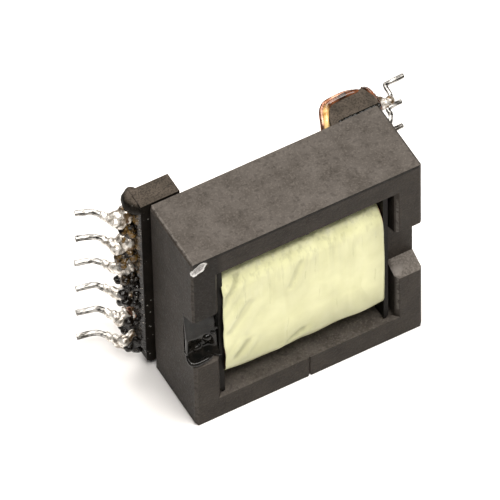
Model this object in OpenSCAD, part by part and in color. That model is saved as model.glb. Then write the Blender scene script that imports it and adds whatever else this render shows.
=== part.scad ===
// Low-profile ferrite power transformer for surface mounting.
// Two E-shaped core halves slide into a one-piece coil former from its two ends and meet in the
// middle. Three windings lie on the former between layers of tape, and their leads run under the
// two terminal rails to twelve formed pins, where each is wrapped round a post and soldered.
//
// The transformer stands on one long edge of its core. X runs along the coil, +Y points to the
// side that faces the circuit board, and +Z is up. The origin is under the middle of the whole,
// on the surface that it stands on. Millimetres.

/* [Core] */
// Length of the closed core, across both halves
core_length = 20; // [18:0.5:26]
// Height of the core, across its two outer legs
core_height = 20; // [19:0.5:26]
// Depth of the core, from its front face to its back
core_depth = 6.65; // [6.2:0.05:9]
// Thickness of each outer leg
outer_leg = 2.3; // [1.6:0.1:2.6]
// Thickness of the wall that joins the three legs of a half
core_web = 2.3; // [1.6:0.1:3]
// Width of the flattened centre leg
centre_leg_width = 8.9; // [6:0.1:9.4]
// Thickness of the flattened centre leg
centre_leg_depth = 3.6; // [2.6:0.1:3.8]
// How far the centre leg lies behind the front face
centre_leg_setback = 1.7; // [1.6:0.05:2.4]
// Cut corners of the centre leg
centre_leg_corner = 0.6; // [0.2:0.05:1]
// Air gap ground between the two centre legs
air_gap = 0.2; // [0.05:0.05:1]
// Fillet in the corners of the winding window
window_fillet = 0.4; // [0.1:0.05:0.6]
// Bevel along the front edges of the window
window_bevel = 0.3; // [0.1:0.05:0.5]
// Worn outer edges of the core
core_edge = 0.2; // [0.05:0.05:0.5]
// Small bevel where the ground ends of the two halves meet
seam_edge = 0.12; // [0.05:0.01:0.2]
// Height of the glue notch at the front face
notch_mouth = 5.8; // [4:0.1:8]
// Height of the glue notch at its floor
notch_floor = 4.4; // [3:0.1:7]
// Depth of the glue notch
notch_depth = 1.6; // [0.8:0.1:2]
// Depth of the chip at the front top corner of the left half
chip_depth = 0.14; // [0.05:0.01:0.3]
// Radius of the two hollows that make up the chip
chip_radius = 1.3; // [0.8:0.1:3]

/* [Coil former] */
// Room for the former in the window, at each end
former_end_clearance = 0.3; // [0.25:0.05:0.6]
// Clearance of the former round the centre leg
leg_clearance = 0.1; // [0.05:0.01:0.2]
// Wall of the tube that carries the windings
tube_wall = 0.5; // [0.3:0.05:0.7]
// Outer corner radius of the tube
tube_corner = 0.6; // [0.3:0.05:1]
// Thickness of each flange
flange_wall = 0.4; // [0.3:0.05:0.8]
// Clearance between the flanges and the outer legs
flange_clearance = 0.2; // [0.1:0.05:0.4]
// How far the flanges lie behind the front face of the core
flange_setback = 0.35; // [0.1:0.05:0.6]
// How far the core sits to the right of the former's middle
core_offset = 0.25; // [0:0.05:0.25]
// Width of each terminal rail along the coil
rail_width = 3.35; // [2.8:0.05:4.5]
// Depth of each terminal rail
rail_depth = 1.9; // [1.7:0.05:3]
// How far the top ends of the rails lie below the top of the core
rail_top_inset = 0; // [0:0.05:0.6]
// How far the foot ends of the rails lie above the foot of the core
rail_foot_inset = 0.7; // [0.1:0.05:0.8]
// Rounded-off foot ends of the rails
rail_foot_edge = 0.35; // [0.1:0.05:0.6]
// Glue gap between the core and the rails
rail_gap = 0.2; // [0.05:0.01:0.3]
// Width of the sloped outer edge of the right rail
rail_slope_width = 0.45; // [0.2:0.05:0.8]
// Depth of the sloped outer edge of the right rail
rail_slope_depth = 1.1; // [0.5:0.05:1.2]
// Worn outer edge of the left rail
rail_edge = 0.12; // [0.05:0.01:0.3]

/* [Windings] */
// Thickness of the primary winding
primary_build = 0.28; // [0.15:0.01:0.35]
// Thickness of the secondary winding
secondary_build = 0.26; // [0.15:0.01:0.35]
// Thickness of the auxiliary winding
auxiliary_build = 0.17; // [0.1:0.01:0.3]
// Thickness of the tape between two windings
interlayer_tape = 0.05; // [0.03:0.01:0.1]
// Thickness of the outer tape, all its turns together
outer_tape_build = 0.14; // [0.08:0.01:0.2]
// Clearance between the windings and each flange
winding_clearance = 0.05; // [0.02:0.01:0.2]

/* [Terminals] */
// Number of pins along each rail
pins_per_side = 6; // [3:1:6]
// Distance between neighbouring pins
pin_pitch = 3; // [2.7:0.05:3.3]
// Side of the square pin wire
pin_size = 0.5; // [0.4:0.05:0.6]
// How far the middle of each row of pins lies above the middle of the core
terminal_rise = 0.35; // [0:0.05:0.5]
// Distance of the posts from the underside of the rail
post_height = 0.5; // [0.45:0.05:1]
// Length of pin held in the rail
pin_grip = 1.6; // [1:0.1:2.5]
// Length of straight post between the longest wrap and the bend
post_tip = 0.16; // [0.1:0.02:0.6]
// Distance from the underside of the rail down to the board
board_clearance = 1.8; // [1.5:0.1:3]
// Length of foot beyond the upright part of the pin
foot_reach = 1.95; // [1.5:0.05:3]
// Centreline radius of the pin bends
bend_radius = 0.45; // [0.35:0.05:0.7]

/* [Leads] */
// Wire diameter of the leads on the left rail
left_wire = 0.3; // [0.2:0.05:0.4]
// Wire diameter of the leads on the right rail
right_wire = 0.4; // [0.2:0.05:0.4]
// Turns of each lead round its post
wrap_turns = 2; // [1:1:2]
// Pitch of the turns, as a share of the wire's diameter
wrap_spread = 1.05; // [1.02:0.01:1.1]
// Radial clearance between a wrap and the corners of its post
wrap_clearance = 0.02; // [0.01:0.01:0.1]
// Solder over the wraps
solder_cover = 0.16; // [0.1:0.02:0.25]
// Clearance of a lead from the rail and from its neighbours
lead_clearance = 0.04; // [0.02:0.01:0.1]

/* [Adhesive] */
// How far the resin in the left notch stays behind the front face
resin_setback = 0.45; // [0.1:0.05:0.8]
// How far the resin sags out of the side of the notch
resin_sag = 0.35; // [0.1:0.05:0.5]
// Radius of the sagging surface
sag_radius = 2.2; // [1.5:0.1:3]
// How far the sag lies below the middle of the notch
resin_drop = 0.5; // [0:0.1:1.5]
// Margin of the rail glue inside the face it joins
glue_margin = 0.5; // [0.2:0.1:1]

/* [Hidden] */
$fn = 48;
over = 1;                 // extra length on a cutting shape
wire_sides = 8;           // sides of a swept wire
corner_steps = 2;         // steps round each corner of a swept wire
wrap_steps = 8;           // steps for one turn of a wrap

// Places along X, measured from the middle of the former
window_half = core_length / 2 - core_web;
flange_outer = window_half - former_end_clearance;
flange_inner = flange_outer - flange_wall;
coil_half = flange_inner - winding_clearance;
rail_inner = flange_inner;
rail_outer = rail_inner + rail_width;
wire_start = rail_outer + 1.5 * lead_clearance;
post_end = wire_start + wrap_length(max(left_wire, right_wire)) + post_tip + bend_radius;
foot_tip = post_end + foot_reach;

// Places along Y, measured from the front face of the core
leg_middle = centre_leg_setback + centre_leg_depth / 2;
tube_depth = centre_leg_depth + 2 * (leg_clearance + tube_wall);
tube_height = centre_leg_width + 2 * (leg_clearance + tube_wall);
coil_build = primary_build + secondary_build + auxiliary_build
           + 2 * interlayer_tape + outer_tape_build;
coil_back = leg_middle + tube_depth / 2 + coil_build;
rail_front = core_depth + rail_gap;
rail_back = rail_front + rail_depth;
post_y = rail_back - post_height;
board_y = rail_back + board_clearance;
foot_y = board_y - pin_size / 2;

// Places along Z
middle_z = core_height / 2;
rail_length = core_height - rail_top_inset - rail_foot_inset;
window_height = core_height - 2 * outer_leg;
flange_height = window_height - 2 * flange_clearance;
coil_half_height = tube_height / 2 + coil_build;
row_length = (pins_per_side - 1) * pin_pitch;
row_middle = middle_z + terminal_rise;

// The coil, layer by layer from the tube outwards
primary_start = 0;
tape_1_start = primary_start + primary_build;
secondary_start = tape_1_start + interlayer_tape;
tape_2_start = secondary_start + secondary_build;
auxiliary_start = tape_2_start + interlayer_tape;
outer_tape_start = auxiliary_start + auxiliary_build;

pin_count = 2 * pins_per_side;

// Pins 1 to pins_per_side stand on the left rail and the rest on the right, from the top down
function side_of(i) = i <= pins_per_side ? -1 : 1;
function place_in_row(i) = i <= pins_per_side ? i - 1 : i - 1 - pins_per_side;
function pin_z(i) = row_middle + ((pins_per_side - 1) / 2 - place_in_row(i)) * pin_pitch;
function wire_of(i) = side_of(i) < 0 ? left_wire : right_wire;

// Length of post that the turns of a lead take up
function wrap_length(wire) = (1 + wrap_spread * wrap_turns) * wire + lead_clearance;

// Radius of a wrap's centreline, just clear of the square post's corners
function wrap_radius(wire) = pin_size * sqrt(2) / 2 + wrap_clearance + wire / 2;

// Shapes drawn from the front face of the core are moved so that the whole part is centred
module in_place() {
    translate([0, -board_y / 2, 0]) children();
}

module rounded_rectangle(width, height, radius) {
    square([width - 2 * radius, height], center = true);
    square([width, height - 2 * radius], center = true);
    for (x = [-1, 1], y = [-1, 1])
        translate([x * (width / 2 - radius), y * (height / 2 - radius)]) circle(radius);
}

module cut_rectangle(width, height, cut) {
    w = width / 2;
    h = height / 2;
    polygon([[w, h - cut], [w - cut, h], [cut - w, h], [-w, h - cut],
             [-w, cut - h], [cut - w, -h], [w - cut, -h], [w, cut - h]]);
}

// A shape drawn in Y and Z, round the centre leg's axis, swept along X
module along_coil(x0, x1) {
    translate([x0, leg_middle, middle_z])
        rotate([90, 0, 90]) linear_extrude(x1 - x0) children();
}

/* ---------- core ---------- */

// The right half, with its ground ends at x = 0
module core_half() {
    half = core_length / 2;
    difference() {
        intersection() {
            core_half_plan();
            core_half_elevation();
        }
        glue_notch();
        window_bevels();
    }
    along_coil(air_gap / 2, half - core_web / 2)
        cut_rectangle(centre_leg_depth, centre_leg_width, centre_leg_corner);

    // The outline seen from above, with worn outer edges and bevelled ground ends
    module core_half_plan() {
        linear_extrude(core_height)
            polygon([[0, seam_edge], [seam_edge, 0], [half - core_edge, 0], [half, core_edge],
                     [half, core_depth - core_edge], [half - core_edge, core_depth],
                     [seam_edge, core_depth], [0, core_depth - seam_edge]]);
    }

    // The outline seen from the front, with the winding window
    module core_half_elevation() {
        translate([0, core_depth + over, 0]) rotate([90, 0, 0])
            linear_extrude(core_depth + 2 * over) difference() {
                polygon([[0, seam_edge], [seam_edge, 0], [half - core_edge, 0], [half, core_edge],
                         [half, core_height - core_edge], [half - core_edge, core_height],
                         [seam_edge, core_height], [0, core_height - seam_edge]]);
                translate([0, middle_z])
                    rounded_rectangle(2 * window_half, window_height, window_fillet);
            }
    }

    // The trapezoid notch across the front of the web
    module glue_notch() {
        grow = over * (notch_mouth - notch_floor) / notch_depth;
        translate([window_half - over, 0, middle_z]) rotate([90, 0, 90])
            linear_extrude(core_web + 2 * over)
                polygon([[-over, -notch_mouth / 2 - grow / 2], [notch_depth, -notch_floor / 2],
                         [notch_depth, notch_floor / 2], [-over, notch_mouth / 2 + grow / 2]]);
    }

    // The bevel between the web's front face and the window
    module window_bevels() {
        translate([window_half, 0, outer_leg])
            linear_extrude(window_height)
                polygon([[-over, -over], [window_bevel + over, -over], [-over, window_bevel + over]]);
    }
}

module core_half_right() {
    color([0.27, 0.25, 0.235]) in_place() translate([core_offset, 0, 0]) core_half();
}

module core_half_left() {
    color([0.27, 0.25, 0.235]) in_place()
        translate([core_offset, 0, 0]) mirror([1, 0, 0]) difference() {
            core_half();
            corner_chip();
        }
}

// Two shallow shell-shaped hollows, as a knock leaves in brittle ferrite; each lies so far in from
// the side and so far down from the top
module corner_chip() {
    for (spot = [[0.5, 1], [0.95, 0.7]])
        translate([core_length / 2 - spot[0], chip_depth - chip_radius, core_height - spot[1]])
            sphere(r = chip_radius, $fn = 32);
}

/* ---------- coil former ---------- */

module coil_former() {
    color([0.11, 0.11, 0.11]) in_place() difference() {
        union() {
            along_coil(-flange_outer, flange_outer)
                rounded_rectangle(tube_depth, tube_height, tube_corner);
            for (side = [-1, 1]) {
                flange(side);
                rail(side);
            }
        }
        along_coil(-flange_outer - over, flange_outer + over)
            cut_rectangle(centre_leg_depth + 2 * leg_clearance,
                          centre_leg_width + 2 * leg_clearance, centre_leg_corner);
        for (i = [1:pin_count]) {
            translate([0, 0, pin_z(i)]) pin_wire(side_of(i));
            if (has_slot(i)) lead_slot(i);
        }
    }
}

// A flange, with its outer ends cut to clear the fillets of the window
module flange(side) {
    h = flange_height / 2;
    cut = window_fillet * (2 - sqrt(2));
    back = rail_front + rail_depth / 2;
    translate([0, back, middle_z]) rotate([90, 0, 0]) linear_extrude(back - flange_setback)
        polygon([for (p = [[flange_inner, -h], [flange_outer - cut, -h], [flange_outer, cut - h],
                           [flange_outer, h - cut], [flange_outer - cut, h], [flange_inner, h]])
                 [side * p[0], p[1]]]);
}

// A terminal rail; the outer edge of the right one slopes, and both are rounded off at the foot
module rail(side) {
    slope = side > 0 ? [rail_slope_width, rail_slope_depth] : [rail_edge, rail_edge];
    edge = rail_foot_edge;
    intersection() {
        translate([0, 0, rail_foot_inset]) linear_extrude(rail_length)
            polygon([for (p = [[rail_inner, rail_front], [rail_outer, rail_front],
                               [rail_outer, rail_back - slope[1]],
                               [rail_outer - slope[0], rail_back],
                               [rail_inner, rail_back]]) [side * p[0], p[1]]]);
        translate([0, rail_back + over, rail_foot_inset]) rotate([90, 0, 0])
            linear_extrude(rail_depth + 2 * over)
                polygon([for (p = [[rail_inner - over, -over], [rail_outer - edge - over, -over],
                                   [rail_outer + over, edge + over],
                                   [rail_outer + over, rail_length + over],
                                   [rail_inner - over, rail_length + over]]) [side * p[0], p[1]]]);
    }
}

// The channel that takes a lead across the underside of its rail
module lead_slot(i) {
    wire = wire_of(i);
    width = wire + 4 * lead_clearance;
    floor_y = wrap_y(i) - wire / 2 - lead_clearance;
    translate([side_of(i) < 0 ? -rail_outer - over : rail_inner - over, floor_y,
               lead_z(i) - width / 2])
        cube([rail_width + 2 * over, rail_back - floor_y + over, width]);
}

/* ---------- windings ---------- */

// One layer of the coil: start is its distance from the tube
module coil_layer(start, build) {
    along_coil(-coil_half, coil_half) difference() {
        rounded_rectangle(tube_depth + 2 * (start + build), tube_height + 2 * (start + build),
                          tube_corner + start + build);
        rounded_rectangle(tube_depth + 2 * start, tube_height + 2 * start, tube_corner + start);
    }
}

module primary_winding() {
    color([0.72, 0.38, 0.16]) in_place() coil_layer(primary_start, primary_build);
}

module interlayer_tape_inner() {
    color([0.90, 0.86, 0.62]) in_place() coil_layer(tape_1_start, interlayer_tape);
}

module secondary_winding() {
    color([0.72, 0.38, 0.16]) in_place() coil_layer(secondary_start, secondary_build);
}

module interlayer_tape_outer() {
    color([0.90, 0.86, 0.62]) in_place() coil_layer(tape_2_start, interlayer_tape);
}

module auxiliary_winding() {
    color([0.72, 0.38, 0.16]) in_place() coil_layer(auxiliary_start, auxiliary_build);
}

module outer_tape() {
    color([0.89, 0.89, 0.67]) in_place() coil_layer(outer_tape_start, outer_tape_build);
}

/* ---------- terminals ---------- */

// A pin in the plane z = 0: held in the rail, out as a post, up to the board, then out as a foot
module pin_wire(side) {
    s = pin_size / 2;
    mirror([side < 0 ? 1 : 0, 0, 0]) translate([0, 0, -s]) linear_extrude(pin_size) {
        translate([rail_outer - pin_grip, post_y - s])
            square([pin_grip + post_end - rail_outer - bend_radius, pin_size]);
        translate([post_end - bend_radius, post_y + bend_radius]) quarter_bend();
        translate([post_end - s, post_y + bend_radius])
            square([pin_size, foot_y - post_y - 2 * bend_radius]);
        translate([post_end + bend_radius, foot_y - bend_radius]) rotate(180) quarter_bend();
        translate([post_end + bend_radius, foot_y - s])
            square([foot_reach - bend_radius, pin_size]);
    }

    // The quarter of a ring to the right of and below its centre
    module quarter_bend() {
        intersection() {
            difference() {
                circle(bend_radius + s);
                circle(bend_radius - s);
            }
            translate([0, -2 * bend_radius]) square(2 * bend_radius);
        }
    }
}

module pin(i) {
    color([0.80, 0.80, 0.79]) in_place() translate([0, 0, pin_z(i)]) pin_wire(side_of(i));
}

/* ---------- leads ---------- */

// Each lead crosses its rail half a pitch away from its post. The top one on the right has no rail
// left for a slot there, and goes round the outside of the rail's end.
function has_slot(i) = !(side_of(i) > 0 && place_in_row(i) == 0);
function lead_z(i) = has_slot(i) ? pin_z(i) + side_of(i) * lead_shift(i)
                                 : core_height - rail_top_inset - wire_of(i);
function lead_shift(i) = min(pin_pitch / 2, end_room(side_of(i)) - wire_of(i));
// Room on the rail beyond the last post that a lead passes
function end_room(side) = side < 0 ? row_middle - row_length / 2 - rail_foot_inset
                                   : core_height - rail_top_inset - row_middle - row_length / 2;
function wrap_y(i) = post_y + wrap_radius(wire_of(i));
function lead_y(i) = has_slot(i) ? wrap_y(i) : rail_back + wire_of(i) / 2 + lead_clearance;
function wrap_x(i) = wire_start + (wire_of(i) + lead_clearance) / 2;

// A lead leaves the flat back of the coil as near to its slot as it can
coil_flat = tube_height / 2 - tube_corner - max(left_wire, right_wire);
function exit_z(i) = min(middle_z + coil_flat, max(middle_z - coil_flat, lead_z(i)));

// The leads that cross beyond the end of the coil keep to a lane of their own
function beyond_coil(i) = abs(lead_z(i) - middle_z) > coil_half_height + wire_of(i);
function lane_x(i) = rail_inner - lead_clearance - wire_of(i) * (beyond_coil(i) ? 2.5 : 1);
function lane_y(i) = coil_back + 1.2 * wire_of(i);

// The corners of a lead's route on the right-hand side, from the coil to its post
function lead_corners(i) =
    let (x = lane_x(i), y = lane_y(i), z = lead_z(i),
         along = abs(exit_z(i) - z) > wire_of(i) ? [[x, y, exit_z(i)], [x, y, z]] : [])
    concat([[x, coil_back, exit_z(i)]], along,
           [[x, lead_y(i), z], [wrap_x(i), lead_y(i), z], [wrap_x(i), wrap_y(i), pin_z(i)]]);

// The same route with each corner rounded by a short curve
function rounded_route(p, radius) = [
    p[0],
    for (k = [1:len(p) - 2])
        let (before = p[k - 1] - p[k], after = p[k + 1] - p[k],
             r = min(radius, 0.45 * norm(before), 0.45 * norm(after)),
             a = p[k] + r * unit(before), b = p[k] + r * unit(after))
            for (s = [0:corner_steps]) let (t = s / corner_steps)
                (1 - t) * (1 - t) * a + 2 * t * (1 - t) * p[k] + t * t * b];

// The turns round the post, which start at its underside and run on along it
function wrap_route(i) =
    let (r = wrap_radius(wire_of(i)), advance = wrap_spread * wire_of(i), turn = -side_of(i))
    [for (s = [0:wrap_turns * wrap_steps]) let (a = 360 * s / wrap_steps)
        [wrap_x(i) + advance * s / wrap_steps, post_y + r * cos(a), pin_z(i) + turn * r * sin(a)]];

function unit(v) = v / norm(v);
function lead_route(i) = concat(rounded_route(lead_corners(i), wire_of(i)), wrap_route(i));

// Direction of a route at point k
function heading(p, k) = unit(p[min(k + 1, len(p) - 1)] - p[max(k - 1, 0)]);

// A direction square to each heading, carried along the route without twist
function carried(v, d) = unit(v - (v * d) * d);
function side_vectors(p) = [
    for (k = 0, v = carried([0, 0.1, 1], heading(p, 0)); k < len(p);
         k = k + 1, v = carried(v, heading(p, min(k, len(p) - 1)))) v];

// A closed round wire along a route
module swept_wire(route, wire) {
    n = wire_sides;
    last = len(route) - 1;
    sides = side_vectors(route);
    points = [for (k = [0:last]) let (u = sides[k], w = cross(heading(route, k), u))
        for (j = [0:n - 1]) let (a = 360 * j / n) route[k] + wire / 2 * (cos(a) * u + sin(a) * w)];
    faces = concat(
        [[for (j = [0:n - 1]) j]],
        [for (k = [0:last - 1], j = [0:n - 1])
            [k * n + j, (k + 1) * n + j, (k + 1) * n + (j + 1) % n, k * n + (j + 1) % n]],
        [[for (j = [n - 1:-1:0]) last * n + j]]);
    polyhedron(points, faces, convexity = 6);
}

module lead(i) {
    color([0.75, 0.42, 0.20]) in_place()
        mirror([side_of(i) < 0 ? 1 : 0, 0, 0]) swept_wire(lead_route(i), wire_of(i));
}

// Solder over the wraps of one post, from the rail outwards, tapering on to the bend
module solder(i) {
    wire = wire_of(i);
    inner = wrap_radius(wire) + wire / 2 + wrap_clearance;
    outer = inner + solder_cover;
    wraps = wrap_length(wire);
    whole = post_end - bend_radius - wire_start;
    color([0.78, 0.78, 0.77]) in_place()
        translate([side_of(i) * wire_start, post_y, pin_z(i)])
            rotate([0, side_of(i) * 90, 0])
                difference() {
                    rotate_extrude()
                        polygon([[0, 0], [outer, 0], [outer, wraps], [pin_size, whole], [0, whole]]);
                    translate([0, 0, -over]) cylinder(r = inner, h = wraps + over);
                    translate([-pin_size / 2, -pin_size / 2, 0])
                        cube([pin_size, pin_size, whole + over]);
                    translate([-outer - over, 0, -over])
                        cube([2 * (outer + over), outer + over, wraps + over]);
                }
}

/* ---------- adhesive ---------- */

// Resin cast into the left notch, against the former's flange, with a sag at the outer side
module notch_resin() {
    side = core_offset - core_length / 2;
    edge = (notch_mouth - (notch_mouth - notch_floor) * resin_setback / notch_depth) / 2;
    color([0.06, 0.06, 0.05]) in_place() {
        translate([side, 0, middle_z]) rotate([90, 0, 90])
            linear_extrude(-flange_outer - side)
                polygon([[resin_setback, -edge], [notch_depth, -notch_floor / 2],
                         [notch_depth, notch_floor / 2], [resin_setback, edge]]);
        intersection() {
            translate([side + sag_radius - resin_sag, 0.7 * notch_depth, middle_z - resin_drop])
                sphere(sag_radius);
            translate([side - over, core_edge, middle_z - notch_mouth])
                cube([over, 2 * notch_depth, 2 * notch_mouth]);
        }
    }
}

// The glue between the back of the web and the rail
module rail_glue(side) {
    x0 = window_half + core_offset + glue_margin / 2;
    x1 = core_length / 2 - core_offset - core_edge;
    color([0.07, 0.07, 0.06]) in_place()
        translate([side < 0 ? -x1 : x0, core_depth, rail_foot_inset + glue_margin])
            cube([x1 - x0, rail_gap, rail_length - 2 * glue_margin]);
}

module rail_glue_left() {
    rail_glue(-1);
}

module rail_glue_right() {
    rail_glue(1);
}

core_half_left();
core_half_right();
coil_former();
primary_winding();
interlayer_tape_inner();
secondary_winding();
interlayer_tape_outer();
auxiliary_winding();
outer_tape();
notch_resin();
rail_glue_left();
rail_glue_right();
for (i = [1:pin_count]) pin(i);
for (i = [1:pin_count]) lead(i);
for (i = [1:pin_count]) solder(i);
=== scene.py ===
# %% [markdown]
# # A surface-mount transformer for a circuit board
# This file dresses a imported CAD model: two ferrite halves round a plastic coil former, three
# windings under a pale yellow film, and twelve gull-wing pins with the winding wires soldered to
# them. The CAD gives every size and place. Here the parts get their real surfaces, and the parts
# that a CAD kernel draws too cleanly, such as solder, film and resin, are made again.

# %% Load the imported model
import math
import random

import bmesh
import bpy
from mathutils import Matrix, Vector, noise


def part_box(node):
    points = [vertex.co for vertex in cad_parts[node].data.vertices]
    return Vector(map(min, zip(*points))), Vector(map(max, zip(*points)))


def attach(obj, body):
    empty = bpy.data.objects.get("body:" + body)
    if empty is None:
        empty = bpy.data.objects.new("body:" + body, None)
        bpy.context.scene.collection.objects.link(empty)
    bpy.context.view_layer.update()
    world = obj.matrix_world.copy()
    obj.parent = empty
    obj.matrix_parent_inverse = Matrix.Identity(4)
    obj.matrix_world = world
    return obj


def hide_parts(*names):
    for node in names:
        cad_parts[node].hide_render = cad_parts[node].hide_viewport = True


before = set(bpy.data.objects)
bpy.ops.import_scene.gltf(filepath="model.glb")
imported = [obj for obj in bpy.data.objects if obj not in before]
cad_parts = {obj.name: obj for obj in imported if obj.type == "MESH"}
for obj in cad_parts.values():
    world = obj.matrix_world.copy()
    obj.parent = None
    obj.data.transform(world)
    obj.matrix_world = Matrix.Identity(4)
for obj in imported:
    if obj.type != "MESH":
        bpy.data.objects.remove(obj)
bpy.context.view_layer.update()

MM = 0.001

# %% [markdown]
# ## The camera
# A small part is usually looked at from well above with a long lens, which keeps its edges almost
# parallel. The camera hangs on an imagined ball round the part: it is turned by an azimuth, an
# elevation and a small roll, and then pushed back along its own axis. Three rotations multiplied
# in that order do this, so no target object or constraint is needed.

# %% Camera
AZIMUTH = math.radians(-27.786)
ELEVATION = math.radians(51.845)
ROLL = math.radians(-1.470)
DISTANCE = 703.0 * MM
LOOKED_AT = Vector((-1.779, 0.295, 10.835)) * MM

turn = Matrix.Rotation(AZIMUTH, 4, "Z")
tilt = Matrix.Rotation(math.pi / 2 - ELEVATION, 4, "X")
roll = Matrix.Rotation(ROLL, 4, "Z")
aim = turn @ tilt @ roll

lens = bpy.data.cameras.new("camera")
lens.sensor_width = 36.0
lens.lens = 660.55
lens.clip_start = 0.01
lens.clip_end = 10.0
camera = bpy.data.objects.new("camera", lens)
camera.matrix_world = Matrix.Translation(LOOKED_AT + aim.to_3x3() @ Vector((0, 0, DISTANCE))) @ aim
bpy.context.scene.collection.objects.link(camera)
bpy.context.scene.camera = camera
print("camera stands", [round(v, 3) for v in camera.location], "metres")

# %% [markdown]
# ## Floor and light
# The part stands on end on a white sweep, and takes most of its light from above. A wide softbox
# hangs overhead, in front and to the right, a second one behind puts a sheen on the top faces, and a
# small bare lamp makes the hard glints that solder and wet resin need. The world is dim, so that
# glossy black stays black. The floor's colour is painted whitest under the part and fades to a pale
# grey further off, a painted pool of light: light that bounces from it then reaches the low sides
# more than the high ones. The standard view transform is used, so that a white floor really reaches
# white.

# %% Floor
FLOOR_HALF = 0.6
FADE_FROM, FADE_TO = 0.020, 0.090
PAINTED_POOL_WHITE = (0.90, 0.885, 0.875, 1)
PAINTED_FALLOFF_GREY = (0.42, 0.415, 0.41, 1)
floor_bm = bmesh.new()
bmesh.ops.create_grid(floor_bm, x_segments=1, y_segments=1, size=FLOOR_HALF)
floor_mesh = bpy.data.meshes.new("floor")
floor_bm.to_mesh(floor_mesh)
floor_bm.free()
floor = bpy.data.objects.new("floor", floor_mesh)
bpy.context.scene.collection.objects.link(floor)
white_sweep = bpy.data.materials.new("white_sweep")
white_sweep.use_nodes = True
paper = white_sweep.node_tree
paper_shader = paper.nodes["Principled BSDF"]
paper_shader.inputs["Roughness"].default_value = 0.9
paper_shader.inputs["Specular IOR Level"].default_value = 0.1
paper_place = paper.nodes.new("ShaderNodeTexCoord")
paper_reach = paper.nodes.new("ShaderNodeVectorMath")
paper_reach.operation = "LENGTH"
paper_fade = paper.nodes.new("ShaderNodeMapRange")
paper_fade.inputs["From Min"].default_value = FADE_FROM
paper_fade.inputs["From Max"].default_value = FADE_TO
# Painted pool of light: the floor colour is whitest near the part and greyer further off.
paper_mix = paper.nodes.new("ShaderNodeMix")
paper_mix.data_type = "RGBA"
paper_mix.inputs[6].default_value = PAINTED_POOL_WHITE
paper_mix.inputs[7].default_value = PAINTED_FALLOFF_GREY
paper.links.new(paper_place.outputs["Object"], paper_reach.inputs[0])
paper.links.new(paper_reach.outputs["Value"], paper_fade.inputs["Value"])
paper.links.new(paper_fade.outputs["Result"], paper_mix.inputs["Factor"])
paper.links.new(paper_mix.outputs[2], paper_shader.inputs["Base Color"])
floor_mesh.materials.append(white_sweep)
print("floor", 2 * FLOOR_HALF, "metres wide")

# %% Lights
def softbox(name, place, target, size, watts, colour=(1.0, 1.0, 1.0)):
    """Hangs a square area light at place, facing target; sizes in metres."""
    lamp = bpy.data.lights.new(name, "AREA")
    lamp.shape = "SQUARE"
    lamp.size = size
    lamp.energy = watts
    lamp.color = colour
    box = bpy.data.objects.new(name, lamp)
    box.location = Vector(place)
    box.rotation_euler = (Vector(target) - Vector(place)).to_track_quat("-Z", "Y").to_euler()
    bpy.context.scene.collection.objects.link(box)
    return box


WARM = (1.0, 0.97, 0.93)
PART_MIDDLE = (0, 0, 0.01)
TENT_STRENGTH = 0.12
softbox("key_box", (0.08, -0.15, 0.49), PART_MIDDLE, 0.36, 3.9, WARM)
softbox("back_box", (0.02, 0.28, 0.38), PART_MIDDLE, 0.30, 1.8, WARM)
softbox("glint_lamp", (-0.11, -0.16, 0.34), PART_MIDDLE, 0.05, 0.40, WARM)
world = bpy.data.worlds.new("tent")
world.use_nodes = True
backdrop = world.node_tree.nodes["Background"]
backdrop.inputs["Color"].default_value = (1.0, 1.0, 1.0, 1)
backdrop.inputs["Strength"].default_value = TENT_STRENGTH
bpy.context.scene.world = world
bpy.context.scene.view_settings.view_transform = "Standard"

# %% [markdown]
# ## How the finishes are wired
# Every finish is a Principled shader whose colour, roughness and bump come from noise. The noise
# reads Object coordinates, which are plain metres here because every piece has its place in its
# mesh. So one grain is the same size on every part, and no unwrapping is needed. The first few
# helpers make a finish, its noise and its colours.

# %% Helpers for finishes
def new_finish(name, colour, roughness, metallic=0.0):
    """A material with a Principled shader. Returns the material, its tree and the shader."""
    finish = bpy.data.materials.new(name)
    finish.use_nodes = True
    tree = finish.node_tree
    shader = tree.nodes["Principled BSDF"]
    shader.inputs["Base Color"].default_value = (*colour, 1)
    shader.inputs["Roughness"].default_value = roughness
    shader.inputs["Metallic"].default_value = metallic
    return finish, tree, shader


def grain(tree, size_mm, detail=4.0, stretch=(1, 1, 1), seed=0.0, distortion=0.0):
    """Noise whose lumps are about size_mm across. Returns its value output."""
    place = tree.nodes.new("ShaderNodeTexCoord")
    mapping = tree.nodes.new("ShaderNodeMapping")
    mapping.inputs["Scale"].default_value = [1 / s for s in stretch]
    mapping.inputs["Location"].default_value = (seed, seed * 0.7, seed * 0.3)
    texture = tree.nodes.new("ShaderNodeTexNoise")
    texture.inputs["Scale"].default_value = 1 / (size_mm * MM)
    texture.inputs["Detail"].default_value = detail
    texture.inputs["Distortion"].default_value = distortion
    tree.links.new(place.outputs["Object"], mapping.inputs["Vector"])
    tree.links.new(mapping.outputs["Vector"], texture.inputs["Vector"])
    return texture.outputs["Fac"]


def spread(tree, value, low, high, to_low=0.0, to_high=1.0):
    """Stretches the part of value between low and high over a new range."""
    stretcher = tree.nodes.new("ShaderNodeMapRange")
    stretcher.inputs["From Min"].default_value = low
    stretcher.inputs["From Max"].default_value = high
    stretcher.inputs["To Min"].default_value = to_low
    stretcher.inputs["To Max"].default_value = to_high
    tree.links.new(value, stretcher.inputs["Value"])
    return stretcher.outputs["Result"]


def between(tree, amount, colour_a, colour_b):
    """Mixes two colours, or two colour outputs, by amount."""
    mixer = tree.nodes.new("ShaderNodeMix")
    mixer.data_type = "RGBA"
    tree.links.new(amount, mixer.inputs["Factor"])
    for slot, colour in ((6, colour_a), (7, colour_b)):
        if isinstance(colour, tuple):
            mixer.inputs[slot].default_value = (*colour, 1)
        else:
            tree.links.new(colour, mixer.inputs[slot])
    return mixer.outputs[2]


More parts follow.
